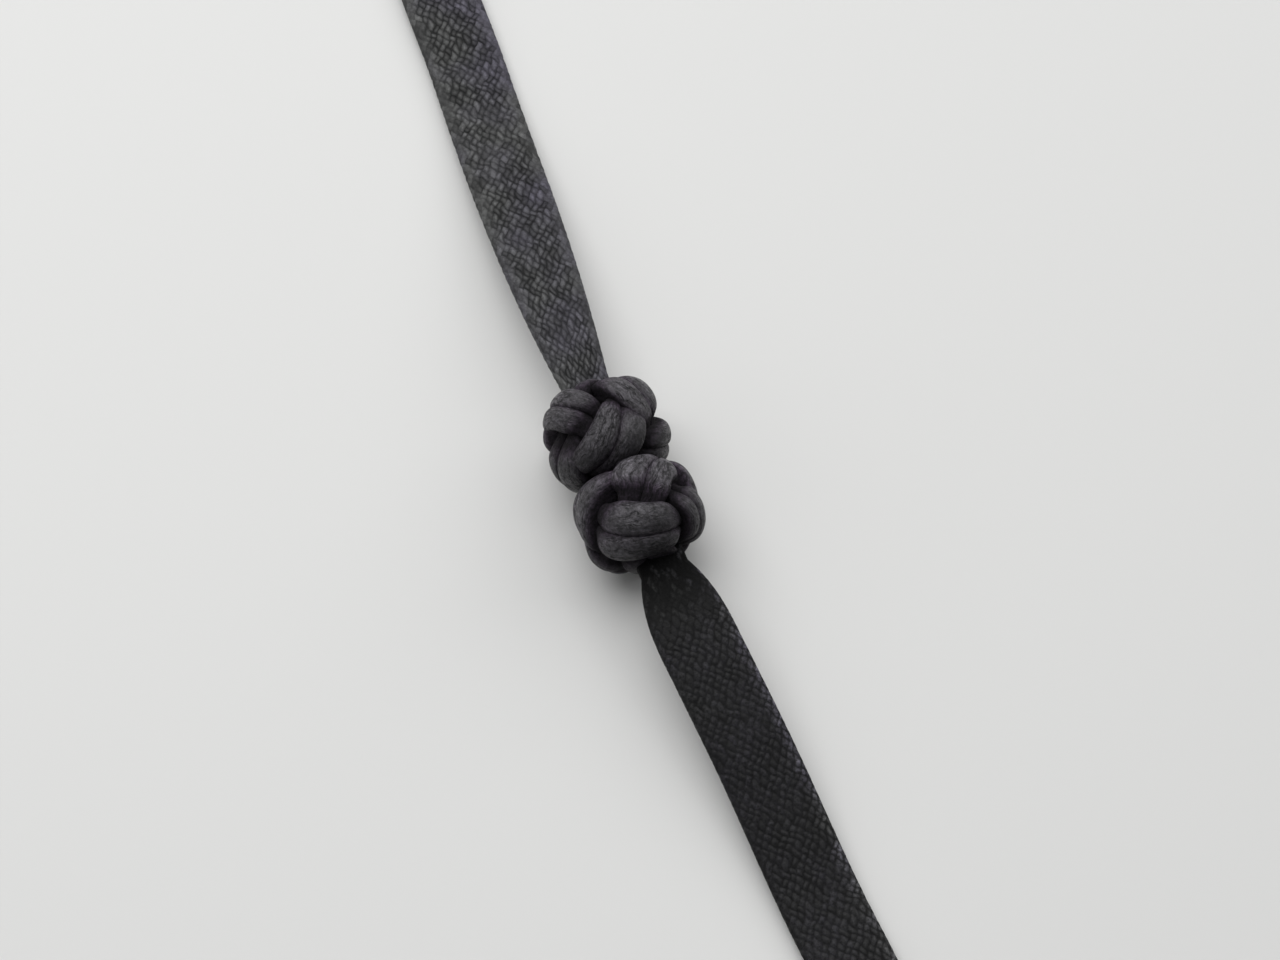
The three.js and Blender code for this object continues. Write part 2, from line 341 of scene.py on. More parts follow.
# %% [markdown]
# ## The cord
#
# Each ring stays level, because a flat cord lies flat. The nubs are real relief where the rings
# stand close enough to show them: every point sinks into the cord by as much as the braid is lower
# there. In one half of the cord, the left one, wax fills the gaps between the nubs to half their
# depth, and to three quarters just beside the knot, where the sliding packed it.

# %% Sweep the cord
TANGENT_STEP = 0.2 * MM
RELIEF, RELIEF_FADE = 0.05 * MM, 6 * MM
WAX_FILL, PACKED_FILL = 0.5, 0.75
# Over this stretch beside the knot packed wax fills more of the relief, and the braid's finish paints
# the knot's shadow on the cord.
PACKED_AND_PAINTED_SHADOW = (7.2 * MM, 13.0 * MM)


def unit(vectors):
    """Vectors divided by their lengths."""
    return vectors / np.linalg.norm(vectors, axis=-1, keepdims=True)


def level_rings(along):
    """Middle, side and up direction of each ring, and its signed distance.

    Ahead runs from the route's point just before the ring to the one just after it. Side is
    ahead x Z, and up is side x ahead.
    """
    middle, signed = centre_line(along)
    ahead = unit(centre_line(along + TANGENT_STEP)[0] - centre_line(along - TANGENT_STEP)[0])
    side = unit(np.cross(ahead, [0.0, 0.0, 1.0]))
    return middle, side, np.cross(side, ahead), signed


def cord_yarns(along, rings):
    """Yarn counts of the rings' points: the shares of the loop and of the ring, made uneven."""
    closed = np.concatenate([rings, rings[:, :1]], axis=1)
    steps = np.linalg.norm(np.diff(closed, axis=1), axis=2)
    share = np.concatenate([np.zeros((len(along), 1)), np.cumsum(steps, axis=1)], axis=1)
    around = YARNS_AROUND * share / share[:, -1:]
    around = np.vstack([around, around[:1]])
    counted = np.concatenate([along, [LOOP_LENGTH]]) / LOOP_LENGTH * YARNS_ALONG
    return np.stack(uneven(np.broadcast_to(counted[:, None], around.shape), around), axis=-1)


def sunk(uv, signed):
    """How deep each point sinks: RELIEF (1 - nubs), times the share that fade and wax leave."""
    near = 1 - smooth_step(np.abs(signed), NEAR_KNOTS - RELIEF_FADE, NEAR_KNOTS)
    filled = PACKED_FILL + (WAX_FILL - PACKED_FILL) * smooth_step(signed, *PACKED_AND_PAINTED_SHADOW)
    left = near * np.where(signed > 0, 1 - filled, 1.0)
    return RELIEF * (1 - nubs(uv[:-1, :-1, 0], uv[:-1, :-1, 1])) * left[:, None]


def cord_grid():
    """Points and yarn counts of the cord: middle + across times side + above times up."""
    along = ring_places()
    middle, side, up, signed = level_rings(along)
    sideways, upwards = rounded(section_angles(), SECTION_POWERS)
    across = sideways[None, :] * cord_width(signed)[:, None] / 2
    above = np.broadcast_to(upwards * CORD_THICKNESS / 2, across.shape)
    rings = np.stack([across, above], axis=-1)
    uv = cord_yarns(along, rings)
    slope = np.roll(rings, -1, axis=1) - np.roll(rings, 1, axis=1)
    outward = unit(np.stack([slope[..., 1], -slope[..., 0]], axis=-1))
    rings = rings - outward * sunk(uv, signed)[..., None]
    return middle[:, None] + rings[..., :1] * side[:, None] + rings[..., 1:] * up[:, None], uv


cord = build_piece("flat_braid", [cord_grid()])

# %% [markdown]
# ## The ball that a button knot fills
#
# Drawn tight, a button knot fills a ball, a little shorter than it is wide. Two knots pushed
# together are pressed flat where they meet and stay round where the cord leaves them. A
# superellipsoid does both: its power sets how boxy it is, and each half may have its own. Every
# point of a rib is then a direction from the ball's middle and a depth under its skin, so the
# ribs mould themselves to the ball.

# %% Shape the ball
MEETING_POWER, MOUTH_POWER = 3.7, 2.1
MEETING_STRETCH = 1.12
KNOTS = {
    "left": {
        "side": -1, "bend_latitude": 63, "turn": (-176, -20, 57),
        "pulls": [
            {"spot": (-0.95, 0, -0.3), "slide": (0, 0.05, 0), "spread": 0, "reach": 30},
            {"spot": (-0.42, 0.33, 0.85), "slide": (0, 0.05, 0), "spread": 0.5, "reach": 30},
            {"spot": (0.4, 0.85, 0.35), "slide": (0, 0.12, -0.2), "spread": 0, "reach": 25},
            {"spot": (0.45, -0.1, 0.88), "slide": (0.08, -0.18, 0), "spread": 0, "reach": 28},
            {"spot": (-0.75, -0.5, 0.45), "slide": (-0.15, -0.35, 0), "spread": 0, "reach": 25},
            {"spot": (-0.6, -0.8, 0.1), "slide": (-0.2, 0, 0.05), "spread": 0, "reach": 22},
        ],
    },
    "right": {
        "side": 1, "bend_latitude": 54, "turn": (93, -10, -4),
        "pulls": [
            {"spot": (-0.8, -0.55, -0.15), "slide": (0.1, -0.1, 0.35), "spread": 0, "reach": 30},
            {"spot": (-0.7, 0.7, 0), "slide": (0.05, 0.28, -0.1), "spread": 0, "reach": 28},
            {"spot": (0.95, -0.1, 0.25), "slide": (0, -0.1, -0.3), "spread": 0, "reach": 30},
            {"spot": (0.8, -0.1, 0.55), "slide": (0, 0.2, 0.05), "spread": 0, "reach": 22},
            {"spot": (-0.8, 0.15, 0.6), "slide": (0.05, -0.05, -0.05), "spread": 0, "reach": 25},
            {"spot": (0.05, -0.04, 1), "slide": (0, 0, 0), "spread": -0.35, "reach": 20},
        ],
    },
}


def ball_point(outward, depth, side):
    """Point under the skin of a knot's ball, in a direction and at a depth.

    The skin is where |x/a|^p + (r/b)^p is 1, with a and b the half length and half width, r the
    distance from the cord's line, and p the power of the half that x is in. The depth is taken
    off along the same direction, and the half that meets the other knot is then stretched.
    """
    x, r = np.abs(outward[..., 0]), np.hypot(outward[..., 1], outward[..., 2])
    meeting = outward[..., 0] * side < 0
    power = np.where(meeting, MEETING_POWER, MOUTH_POWER)
    reach = (x**power + r**power) ** (-1 / power) - depth / (KNOT_WIDTH / 2)
    half_size = np.array([KNOT_LENGTH, KNOT_WIDTH, KNOT_WIDTH]) / 2
    point = outward * reach[..., None] * half_size
    point[..., 0] *= np.where(meeting, MEETING_STRETCH, 1.0)
    return point


ball_axes = ball_point(np.array([[-1.0, 0, 0], [1, 0, 0], [0, 0, 1]]), np.zeros(3), 1)
print("the right ball reaches, mm:", [round(x / MM, 2) for x in np.abs(ball_axes).max(axis=1)],
      "towards the other knot, towards its mouth, and up")

# %% [markdown]
# ## The path of a button knot
#
# A button knot is woven from one cord. Its path winds four times round the knot's own axis while
# it swings three times from pole to pole and back, and it passes over and under itself in turn.
# That is one formula. Each knot is then turned as it lies on the cord, and a few pulls slide the
# weave over the ball, as tightening by hand leaves it uneven.

# %% Weave the knots' paths
LEADS, BIGHTS = 4, 3
EVENING, DIVE_SHARPNESS = 0.207, 1.6


def turned(vectors, angles):
    """Vectors turned about X, then Y, then Z, by angles in degrees."""
    for axis, degrees in enumerate(angles):
        c, s = math.cos(math.radians(degrees)), math.sin(math.radians(degrees))
        i, j = [(1, 2), (2, 0), (0, 1)][axis]
        matrix = np.eye(3)
        matrix[i, i], matrix[i, j], matrix[j, i], matrix[j, j] = c, -s, s, c
        vectors = vectors @ matrix.T
    return vectors


def knot_outward(phase, knot):
    """Direction from the ball's middle: latitude B cos(p), longitude -p leads/bights."""
    latitude = math.radians(knot["bend_latitude"]) * np.cos(phase)
    longitude = -phase * LEADS / BIGHTS
    flat = np.cos(latitude)
    ball = np.stack([flat * np.cos(longitude), flat * np.sin(longitude), np.sin(latitude)], -1)
    return turned(ball, knot["turn"])


def pulled(outward, pulls):
    """Directions after the pulls of a hand that tightens the knot.

    Each pull adds its slide, and its spread times the way from its spot, both times
    exp(-angle^2 / 2 reach^2) at an angle from that spot.
    """
    slid = outward.copy()
    for pull in pulls:
        middle = unit(np.array(pull["spot"]))
        angle = np.arccos(np.clip(outward @ middle, -1, 1)) / math.radians(pull["reach"])
        share = np.exp(-(angle**2) / 2)[..., None]
        slid += share * (np.array(pull["slide"]) + pull["spread"] * (outward - middle))
    return unit(slid)


def over_and_under(phase):
    """Near 1 where the path passes over itself and near -1 where it passes under.

    sin 3p + EVENING (sin p - sin 5p) is 1 or -1 at every crossing, to three places, and
    tanh(DIVE_SHARPNESS times that), over tanh(DIVE_SHARPNESS), dives more steeply between them.
    """
    swing = np.sin(3 * phase) + EVENING * (np.sin(phase) - np.sin(5 * phase))
    return np.tanh(DIVE_SHARPNESS * swing) / math.tanh(DIVE_SHARPNESS)


print("over and under at the crossings:",
      [round(float(over_and_under(k * math.pi / LEADS)), 2) for k in (1, 2, 3, 5, 6, 7)])

# %% [markdown]
# ## The knots' ribs
#
# In a knot the flat cord folds lengthwise: its edges roll up into two round ribs that lie side by
# side, and its middle is a web that joins them underneath. Each of the three is a tube carried
# along the path. It is broad and high where the cord passes over, and pinched and deep where it
# passes under. Close to a mouth the ribs sink, because there the other cord runs over them.

# %% Sweep the ribs
RIB_RINGS = 880
RIB_POWERS = (0.74, 0.54)
DIVE_DEPTH, PINCH = 1.0 * MM, 0.14
MOUTH_DIP, MOUTH_SPREAD = 1.0 * MM, math.radians(26)
KNOT_YARN_PITCH = (0.7 * MM, 0.4 * MM)
FIRST_PHASE = 7 * math.pi / 4
PHASE_STEP = 1e-3
# Over these depths a point goes from crown to crevice; the knots' finish turns its colour nearly black
# there, painted crevice shade.
CREVICE = (0.0, 0.65 * MM)
CROWDED, LEAST_CROWDING = 0.9, 1e-6
RIB = {"under": 0.8 * MM, "width": 2.15 * MM, "height": 1.6 * MM, "points": 44}
FOLD = {
    "left_rib": {"beside": -1.0 * MM, **RIB},
    "right_rib": {"beside": 1.0 * MM, **RIB},
    "web": {"beside": 0.0, "under": 1.5 * MM, "width": 4.4 * MM, "height": 1.4 * MM, "points": 22},
}


def counted_yarns(points, axis, pitch):
    """Yarn counts along one axis of a closed grid: its mean length so far, over the pitch.

    The pitch is stretched a little, so that a whole number of yarns closes the loop.
    """
    steps = np.linalg.norm(np.roll(points, -1, axis=axis) - points, axis=2).mean(axis=1 - axis)
    length = np.concatenate([[0], np.cumsum(steps)])
    return length / length[-1] * round(length[-1] / pitch)


def path_frame(phase, knot):
    """Direction out to the path, direction to its side, and how tightly it bends to that side.

    With a, p and b the directions out just before, at and just after a phase, the side is
    (b - a) x p, and the bend is the part of b + a - 2p to that side over |b - a|^2 / 4.
    """
    outward = knot_outward(phase, knot)
    before, after = knot_outward(phase - PHASE_STEP, knot), knot_outward(phase + PHASE_STEP, knot)
    sideways = unit(np.cross(after - before, outward))
    bend = np.sum((after + before - 2 * outward) * sideways, axis=1)
    return outward, sideways, bend / (np.sum((after - before) ** 2, axis=1) / 4)


def crowded(slide, bend):
    """Slides to the side, held back on the inside of a bend so that a rib doesn't fold over.

    There, with c the slide times the bend over CROWDED, a slide shrinks to tanh(c) / c of itself.
    """
    crowding = np.maximum(slide * bend, LEAST_CROWDING) / CROWDED
    return slide * np.tanh(crowding) / crowding


def mouth_dip(outward, side):
    """How far the ribs sink at an angle from the mouth: MOUTH_DIP exp(-angle^2 / 2 MOUTH_SPREAD^2)."""
    from_mouth = np.arccos(np.clip(outward[..., 0] * side, -1, 1))
    return MOUTH_DIP * np.exp(-(from_mouth**2) / (2 * MOUTH_SPREAD**2))


def fold_grid(knot, part):
    """Points, yarn counts and burial of one tube of the folded cord.

    The section at each phase is (w |cos t|^m, h |sin t|^n) with its signs: the first runs over
    the ball to the side of the path, and the second is taken off the depth of the tube's middle.
    """
    phase = FIRST_PHASE + np.linspace(0, 2 * np.pi * BIGHTS, RIB_RINGS, endpoint=False)
    outward, sideways, bend = path_frame(phase, knot)
    weave = over_and_under(phase)[:, None]
    angle = np.linspace(0, 2 * np.pi, part["points"], endpoint=False) - np.pi / 2
    across, above = rounded(angle, RIB_POWERS)
    slide = (part["beside"] + part["width"] / 2 * across) * (1 - PINCH * (1 - weave))
    slide = crowded(slide / (KNOT_WIDTH / 2), bend[:, None])
    outward = pulled(unit(outward[:, None] + sideways[:, None] * slide[..., None]), knot["pulls"])
    depth = part["under"] + DIVE_DEPTH / 2 * (1 - weave) - part["height"] / 2 * above
    buried = smooth_step(depth, *CREVICE)
    points = ball_point(outward, depth + mouth_dip(outward, knot["side"]), knot["side"])
    points = points + np.array([knot["side"] * KNOT_OFFSET, KNOTS_MIDDLE.y, KNOT_MIDDLE_HEIGHT])
    along = counted_yarns(points[:, part["points"] // 2][:, None], 0, KNOT_YARN_PITCH[0])
    around = counted_yarns(points, 1, KNOT_YARN_PITCH[1])
    uv = np.stack(uneven(*np.meshgrid(along, around, indexing="ij")), axis=-1)
    return points[:, ::-1], uv[:, ::-1], buried[:, ::-1]


def build_knot(side, knot):
    """A knot's three tubes as one mesh, with how deep each point lies as an attribute."""
    tubes = [fold_grid(knot, part) for part in FOLD.values()]
    piece = build_piece(f"button_knot_ribs_{side}", [(points, uv) for points, uv, _ in tubes])
    buried = piece.data.attributes.new("buried", "FLOAT", "POINT")
    depths = np.concatenate([depth.ravel() for _, _, depth in tubes])
    buried.data.foreach_set("value", depths.astype(np.float32))
    return piece


knots = {side: build_knot(side, knot) for side, knot in KNOTS.items()}

# %% [markdown]
# ## Writing materials as short sums
#
# A finish here is a chain of dozens of shader nodes. They could be wired by hand in the editor.
# Written as sums they are easier to read and to change, so a small helper adds one node at a time
# and hands back its result. A noise that follows the place on the object has its scale in waves a
# metre: 340 makes patches about 3 mm wide, and 5200 makes fibres of about 0.2 mm. One that follows
# the UV map has it in waves a yarn.


# %% Write shader nodes
class Nodes:
    """A small writer of shader nodes: each method adds a node and returns its result socket."""

    def __init__(self, name):
        self.material = bpy.data.materials.new(name)
        self.material.use_nodes = True
        self.tree = self.material.node_tree
        self.shader = self.tree.nodes["Principled BSDF"]

    def add(self, kind, inputs=None, **settings):
        """A new node of a kind, with its settings, and with its inputs fed."""
        node = self.tree.nodes.new(kind)
        for key, value in settings.items():
            setattr(node, key, value)
        for key, value in (inputs or {}).items():
            self.feed(node.inputs[key], value)
        return node

    def feed(self, socket, value):
        """Link a result to a socket, or set the socket to a plain value."""
        if isinstance(value, bpy.types.NodeSocket):
            self.tree.links.new(value, socket)
        else:
            socket.default_value = value

    def math(self, operation, *values):
        """One sum of a Math node."""
        node = self.add("ShaderNodeMath", operation=operation)
        for socket, value in zip(node.inputs, values):
            self.feed(socket, value)
        return node.outputs[0]

    def blend(self, share, first, second):
        """first where the share is 0 and second where it is 1."""
        node = self.add("ShaderNodeMix", {"Factor": share, "A": first, "B": second})
        return node.outputs["Result"]

    def scaled(self, value, low, high, to_low, to_high):
        """The value, with low to high mapped to to_low to to_high and no further."""
        node = self.add("ShaderNodeMapRange", {"Value": value, "From Min": low, "From Max": high,
                                               "To Min": to_low, "To Max": to_high})
        return node.outputs["Result"]

    def product(self, first, *others):
        """All values multiplied."""
        for value in others:
            first = self.math("MULTIPLY", first, value)
        return first

    def noise(self, vector, scale, detail, roughness=0.5):
        """A noise from 0 to 1 that is mostly near 0.5."""
        node = self.add("ShaderNodeTexNoise", {"Vector": vector, "Scale": scale, "Detail": detail,
                                               "Roughness": roughness})
        return node.outputs["Fac"]

    def stretched(self, vector, x, y):
        """The vector with its x and y multiplied, which squeezes a pattern by as much."""
        node = self.add("ShaderNodeMapping", {"Vector": vector, "Scale": (x, y, 1.0)})
        return node.outputs["Vector"]

    def split(self, vector):
        """The three parts of a vector or a colour."""
        node = self.add("ShaderNodeSeparateXYZ", {"Vector": vector})
        return node.outputs["X"], node.outputs["Y"], node.outputs["Z"]

    def dye_with_painted_light(self, colour, tint, hue, light):
        """Feed the base colour: (colour + tint * hue) * light, where light holds the finish's own tones
        and its painted light and shade.
        """
        tinted = self.add("ShaderNodeVectorMath", {0: tint, 1: hue, 2: colour},
                          operation="MULTIPLY_ADD")
        shade = self.add("ShaderNodeVectorMath", {0: tinted.outputs[0], "Scale": light},
                         operation="SCALE")
        self.feed(self.shader.inputs["Base Color"], shade.outputs[0])

    def emboss(self, height, distance):
        """Feed the normal from a height between 0 and about 1, which stands for a distance."""
        bump = self.add("ShaderNodeBump", {"Height": height, "Strength": 1.0, "Distance": distance})
        self.feed(self.shader.inputs["Normal"], bump.outputs[0])


print("sums that can be written:", [name for name in vars(Nodes) if not name.startswith("_")])

# %% [markdown]
# ## The waxed braid's finish
#
# Waxed cotton is nearly black with a satin gloss. The same nub drives colour, gloss and bump,
# worked out from the yarn counts in the UV map: its colour is painted lighter on the crown and
# darker in the gaps between the yarns, a painted highlight and painted shade. Every nub has a
# tone, a size and a lean of its own, as in a braid made of spun yarn. Wax fills the gaps in
# patches and along the cord's two edges, where fingers rub it smooth and a little paler, more so
# on the half that is painted lit. One half of the cord is painted lit and pale. The other half is
# painted in shade and darker: its fibres show more than its nubs, a row of nubs along one edge
# carries a painted highlight, and beside its knot, where the sliding packed wax into its relief,
# it is blackest under the knot's painted shadow.


# %% Finish the flat braid
BRAID_COLOUR, BRAID_TINT = (0.045, 0.0455, 0.045), (-0.002, -0.005, 0.007)
BRAID_PATCHES, BRAID_HUES, BRAID_FIBRES = 340.0, 170.0, 5200.0
BRAID_BUMP, BRAID_GLOSS = 0.09 * MM, 0.25
NUB_SHIFT, NUB_LEAN = 0.14, 1.2
# Over this stretch at the back of the loop the cord goes from painted shade to painted light.
PAINTED_LIGHT_STARTS, PAINTED_LIGHT_FULL = 0.35 * YARNS_ALONG, 0.65 * YARNS_ALONG


def nub_nodes(n, uv, shift, lean):
    """The braid of nubs() as nodes: the height, and a tone from 0 to 1 for each nub.

    The cell's own nub and the one that reaches over from the next cell are compared as in
    nubs(), and the higher one's cell gives three chances: each nub is moved by up to half of
    shift, falls off up to a quarter faster or slower, and leans by up to half of lean.
    """
    x, y, _ = n.split(uv)
    a, b = n.math("SUBTRACT", y, x), n.math("ADD", y, x)
    cell_a, cell_b = n.math("FLOOR", a), n.math("FLOOR", b)
    fa, fb = (n.math("SUBTRACT", n.math("FRACT", value), 0.5) for value in (a, b))
    odd = n.math("FLOORED_MODULO", n.math("ADD", cell_a, cell_b), 2.0)
    u, v = n.blend(odd, fa, fb), n.blend(odd, fb, fa)

    def roundness(across, along):
        powers = [n.math("POWER", n.math("ABSOLUTE", n.math("MULTIPLY", value, slimness)), NUB_POWER)
                  for value, slimness in zip((across, along), NUB_SLIMNESS)]
        return n.math("ADD", *powers)

    way = n.math("SIGN", u)
    reaching = n.math("SUBTRACT", u, way)
    other = n.math("LESS_THAN", roundness(v, reaching), roundness(u, v))
    step = n.math("MULTIPLY", other, way)
    step_b = n.math("MULTIPLY", step, odd)
    cell = n.add("ShaderNodeCombineXYZ", {
        "X": n.math("ADD", cell_a, n.math("SUBTRACT", step, step_b)),
        "Y": n.math("ADD", cell_b, step_b),
    })
    chance = n.add("ShaderNodeTexWhiteNoise", {"Vector": cell.outputs[0]}, noise_dimensions="2D")
    moves = [n.math("SUBTRACT", value, 0.5) for value in n.split(chance.outputs["Color"])]
    across = n.math("MULTIPLY_ADD", moves[0], shift, n.blend(other, u, v))
    along = n.math("MULTIPLY_ADD", moves[1], shift, n.blend(other, v, reaching))
    fall = n.math("MULTIPLY_ADD", moves[2], 0.5, 1.0)
    away = n.math("MULTIPLY", n.math("POWER", roundness(across, along), NUB_STEEPNESS), fall)
    dome = n.math("MAXIMUM", n.math("SUBTRACT", 1.0, away), 0.0)
    slant = n.math("ADD", n.math("MULTIPLY", moves[2], across), n.math("MULTIPLY", moves[0], along))
    return n.math("MULTIPLY_ADD", slant, lean, dome), dome, chance.outputs["Value"]


def edge_band(n, uv, quarter, inner, outer):
    """1 on an edge of the flat cord, a quarter or three quarters round, and 0 past outer yarns."""
    away = n.math("ABSOLUTE", n.math("SUBTRACT", n.split(uv)[1], YARNS_AROUND * quarter / 4))
    return n.scaled(away, inner, outer, 1.0, 0.0)


def flat_braid_material():
    """Waxed braid: toned nubs, waxed patches, edges that fingers rub smooth, and painted light and
    shade: darker gaps, lit and shaded halves, an edge highlight, the knot's shadow on the packed
    stretch.
    """
    n = Nodes("waxed_braid")
    uv = n.add("ShaderNodeUVMap", uv_map="yarns").outputs["UV"]
    place = n.add("ShaderNodeTexCoord").outputs["Object"]
    height, dome, tone = nub_nodes(n, uv, NUB_SHIFT, NUB_LEAN)
    patch = n.noise(place, BRAID_PATCHES, 3.0)
    # Painted light: 0 on the left half of the cord, painted in shade, and 1 on the right half, painted
    # lit, changing over the back of the loop.
    painted_lit_half = n.scaled(n.split(uv)[0], PAINTED_LIGHT_STARTS, PAINTED_LIGHT_FULL, 0.0, 1.0)
    edges = n.math("ADD", edge_band(n, uv, 1, 1.1, 2.1), edge_band(n, uv, 3, 1.1, 2.1))
    # Both edges are rubbed smooth, more so on the half painted lit: real wear and painted light.
    rubbed_edge_with_painted_light = n.product(edges, n.scaled(painted_lit_half, 0.0, 1.0, 0.3, 0.9))
    waxed = n.math("MAXIMUM", n.scaled(patch, 0.45, 0.75, 0.0, 0.55), rubbed_edge_with_painted_light)
    # Painted highlight and shade: in the colour the nubs' crowns are lighter and the gaps between them
    # darker, less so where wax fills them.
    crown = n.blend(n.product(waxed, 0.9), n.math("POWER", dome, 0.8), 0.7)
    grain = n.noise(place, BRAID_FIBRES, 3.0, 0.7)
    # Painted light and shade: the lit half keeps its full colour and the shaded half falls to 0.12 of
    # it, its edges a little lighter.
    painted_half_light = n.math("MAXIMUM", n.scaled(painted_lit_half, 0.0, 1.0, 0.12, 1.0), n.product(rubbed_edge_with_painted_light, 0.55))
    # Painted highlight: on the half in painted shade, the nubs along one edge are lighter, as where
    # light catches that edge.
    painted_edge_highlight = n.product(edge_band(n, uv, 3, 0.9, 2.1), n.scaled(painted_lit_half, 0.0, 1.0, 5.0, 0.0), dome)
    # Painted shadow of the knot: on the left half, from 7.2 to 13 mm from the middle of the knots, the
    # colour darkens towards the knot.
    from_knots = n.math("MULTIPLY", n.split(uv)[0], LOOP_LENGTH / YARNS_ALONG)
    past_painted_knot_shadow = n.scaled(from_knots, *PACKED_AND_PAINTED_SHADOW, 0.0, 1.0)
    # The half painted lit shows the nubs' painted highlight and shade strongly; the half in painted
    # shade shows them weakly and its fibres more.
    nub_light = n.blend(painted_lit_half, n.scaled(crown, 0.0, 1.0, 0.55, 1.0),
                        n.scaled(crown, 0.0, 1.0, 0.3, 1.15))
    fibre_light = n.blend(painted_lit_half, n.scaled(grain, 0.35, 0.65, 0.1, 2.1),
                          n.scaled(grain, 0.3, 0.7, 0.6, 1.4))
    light = n.product(
        nub_light, fibre_light, n.scaled(tone, 0.0, 1.0, 0.55, 1.75),
        n.scaled(patch, 0.3, 0.7, 0.85, 1.2),
        n.scaled(rubbed_edge_with_painted_light, 0.0, 0.9, 1.0, 1.15), painted_half_light, n.math("ADD", painted_edge_highlight, 1.0),
        n.blend(past_painted_knot_shadow, n.product(n.math("POWER", tone, 4.0), crown, 1.8), 1.0),
    )
    hue = n.scaled(n.noise(place, BRAID_HUES, 2.0), 0.4, 0.6, 0.0, 1.0)
    n.dye_with_painted_light(BRAID_COLOUR, BRAID_TINT, hue, light)
    rough = n.math("MAXIMUM", n.scaled(crown, 0.0, 1.0, 0.85, 0.48),
                   n.scaled(past_painted_knot_shadow, 0.0, 1.0, 1.0, 0.48))
    n.feed(n.shader.inputs["Roughness"], rough)
    relief = n.product(n.math("SUBTRACT", 1.0, waxed), n.scaled(painted_lit_half, 0.0, 1.0, 0.25, 0.8))
    fuzz = n.product(grain, n.scaled(past_painted_knot_shadow, 0.0, 1.0, 1.3, 0.3))
    n.emboss(n.math("MULTIPLY_ADD", height, relief, fuzz), BRAID_BUMP)
    n.shader.inputs["Specular IOR Level"].default_value = BRAID_GLOSS
    return n.material


cord.data.materials.append(flat_braid_material())
print("flat braid:", len(cord.data.materials[0].node_tree.nodes), "nodes")

# %% [markdown]
# ## The drawn braid's finish
#
# In the knots the same cord is folded and pulled hard. The nubs are stretched flat, and what shows
# is a fine cloth grain, short wrinkles that run along the ribs, and crevices. The wrinkles are the
# places where a stretched noise passes through its middle value, which makes thin winding lines;
# their colour is darkened as painted shade in the creases, and the bump sinks them. The crevices
# are painted shade: the depth of each point, kept as an attribute, turns its colour nearly black.
# Each knot is painted lighter at one end and darker at the other, as light falling from that side
# would leave it, and this follows the place along the cord.


# %% Finish the knots
DRAWN_COLOUR, DRAWN_TINT = (0.0375, 0.035, 0.0395), (0.008, -0.0065, 0.012)
DRAWN_PATCHES, DRAWN_FIBRES = 420.0, 3200.0
DRAWN_BUMP, DRAWN_GLOSS = 0.1 * MM, 0.3


def drawn_braid_material():
    """Braid pulled tight: mottled grain, thin wrinkles and black crevices in painted shade, one end
    painted lighter.
    """
    n = Nodes("drawn_braid")
    uv = n.add("ShaderNodeUVMap", uv_map="yarns").outputs["UV"]
    place = n.add("ShaderNodeTexCoord").outputs["Object"]
    # Painted shade: the deeper a point lies, the darker its colour, down to a tenth in the crevices.
    buried = n.add("ShaderNodeAttribute", attribute_name="buried").outputs["Fac"]
    patch = n.noise(place, DRAWN_PATCHES, 2.0)
    grain = n.noise(place, DRAWN_FIBRES, 3.0, 0.75)
    streaks = n.noise(n.stretched(uv, 0.7, 2.4), 1.5, 4.0, 0.65)
    folds = n.noise(n.stretched(uv, 0.32, 1.0), 0.9, 4.0, 0.6)
    few = n.scaled(patch, 0.42, 0.52, 0.0, 1.0)
    # Painted shade with a real crease: wrinkles darken the colour to 0.3 and are sunk by the bump.
    wrinkle = n.scaled(n.math("ABSOLUTE", n.math("SUBTRACT", folds, 0.5)), 0.0, 0.04, 1.0, 0.0)
    wrinkle = n.product(wrinkle, few)
    # Painted light: within each knot length along X the colour is lighter towards +X and darker towards
    # -X, as light from that side leaves it.
    end = n.math("FRACT", n.math("MULTIPLY", n.split(place)[0], 1 / KNOT_LENGTH))
    light = n.product(
        n.scaled(end, 0.1, 0.9, 0.6, 1.4),
        n.scaled(patch, 0.3, 0.7, 0.65, 1.4), n.scaled(grain, 0.3, 0.7, 0.25, 1.95),
        n.scaled(streaks, 0.3, 0.7, 0.35, 1.75), n.scaled(wrinkle, 0.0, 1.0, 1.0, 0.3),
        n.scaled(buried, 0.0, 1.0, 1.0, 0.1),
    )
    n.dye_with_painted_light(DRAWN_COLOUR, DRAWN_TINT, buried, light)
    dull = n.math("MAXIMUM", buried, n.product(wrinkle, 0.6))
    rough = n.math("ADD", n.scaled(dull, 0.0, 1.0, 0.4, 0.95),
                   n.scaled(grain, 0.3, 0.7, 0.15, -0.15))
    n.feed(n.shader.inputs["Roughness"], rough)
    lumps = n.math("MULTIPLY_ADD", grain, 0.9, n.product(streaks, 0.8))
    n.emboss(n.math("MULTIPLY_ADD", wrinkle, -0.4, lumps), DRAWN_BUMP)
    n.shader.inputs["Specular IOR Level"].default_value = DRAWN_GLOSS
    return n.material


knot_finish = drawn_braid_material()
for knot_piece in knots.values():
    knot_piece.data.materials.append(knot_finish)
print("drawn braid:", len(knot_finish.node_tree.nodes), "nodes")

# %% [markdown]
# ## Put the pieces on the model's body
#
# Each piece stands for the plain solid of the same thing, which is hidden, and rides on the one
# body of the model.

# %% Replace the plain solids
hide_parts("woven_cord")
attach(cord, "root")
for side, knot_piece in knots.items():
    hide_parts(f"button_knot_{side}")
    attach(knot_piece, "root")
print("pieces that stand for solids:", [piece.name for piece in (cord, *knots.values())])

# %% [markdown]
# ## Table and light
#
# A pale floor and soft light keep the eye on the knots. Seen by the camera, a window stands high
# past the top of the view. A large pale wall on the upper right lights the ribs from their side,
# so the soft shadows fall to the lower left, and a small one on the left lightens them. A faint
# sky fills the rest.

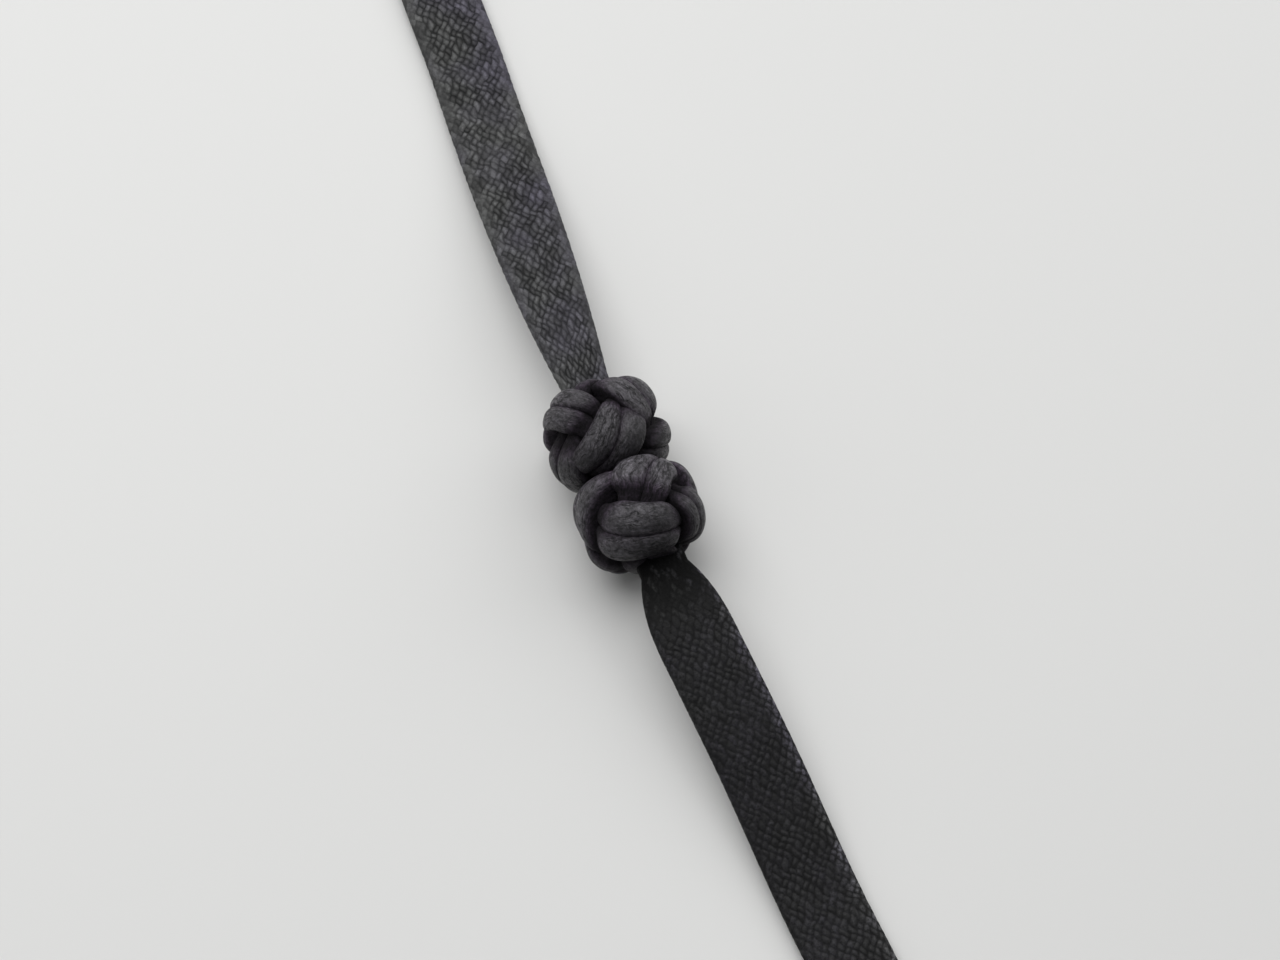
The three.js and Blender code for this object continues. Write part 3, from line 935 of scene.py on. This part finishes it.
# %% Light the table
HALF_FLOOR = 1.5
TABLE_COLOUR, TABLE_ROUGHNESS = (0.65, 0.65, 0.64, 1.0), 0.7
SKY_COLOUR, SKY_STRENGTH = (0.95, 0.97, 1.0, 1.0), 0.12

floor_mesh = bpy.data.meshes.new("table")
floor_corners = [(x * HALF_FLOOR, y * HALF_FLOOR, 0) for x, y in ((-1, -1), (1, -1), (1, 1), (-1, 1))]
floor_mesh.from_pydata(floor_corners, [], [(0, 1, 2, 3)])
floor = bpy.data.objects.new("table", floor_mesh)
bpy.context.scene.collection.objects.link(floor)
table_finish = bpy.data.materials.new("pale_table")
table_finish.use_nodes = True
table_shader = table_finish.node_tree.nodes["Principled BSDF"]
table_shader.inputs["Base Color"].default_value = TABLE_COLOUR
table_shader.inputs["Roughness"].default_value = TABLE_ROUGHNESS
floor_mesh.materials.append(table_finish)

LAMPS = {
    "window": {"azimuth": 98, "elevation": 58, "distance": 0.45, "size": 0.5, "power": 2.1},
    "right_wall": {"azimuth": 16, "elevation": 40, "distance": 1.0, "size": 1.0, "power": 4.6},
    "left_wall": {"azimuth": 165, "elevation": 35, "distance": 0.6, "size": 0.6, "power": 0.6},
}
for name, lamp in LAMPS.items():
    data = bpy.data.lights.new(name, "AREA")
    data.shape = "DISK"
    data.size = lamp["size"]
    data.energy = lamp["power"]
    lamp_object = bpy.data.objects.new(name, data)
    toward = direction(lamp["azimuth"], lamp["elevation"])
    lamp_object.location = KNOTS_MIDDLE + toward * lamp["distance"]
    lamp_object.rotation_mode = "QUATERNION"
    lamp_object.rotation_quaternion = (-toward).to_track_quat("-Z", "Y")
    bpy.context.scene.collection.objects.link(lamp_object)

world = bpy.data.worlds.new("pale_sky")
world.use_nodes = True
world.node_tree.nodes["Background"].inputs["Color"].default_value = SKY_COLOUR
world.node_tree.nodes["Background"].inputs["Strength"].default_value = SKY_STRENGTH
bpy.context.scene.world = world
bpy.context.scene.view_settings.view_transform = "Standard"
print("lamps:", ", ".join(LAMPS), "and the sky")

# %% [markdown]
# ## Done
#
# The dressed pieces, the camera, the table and the lights are all in the scene.
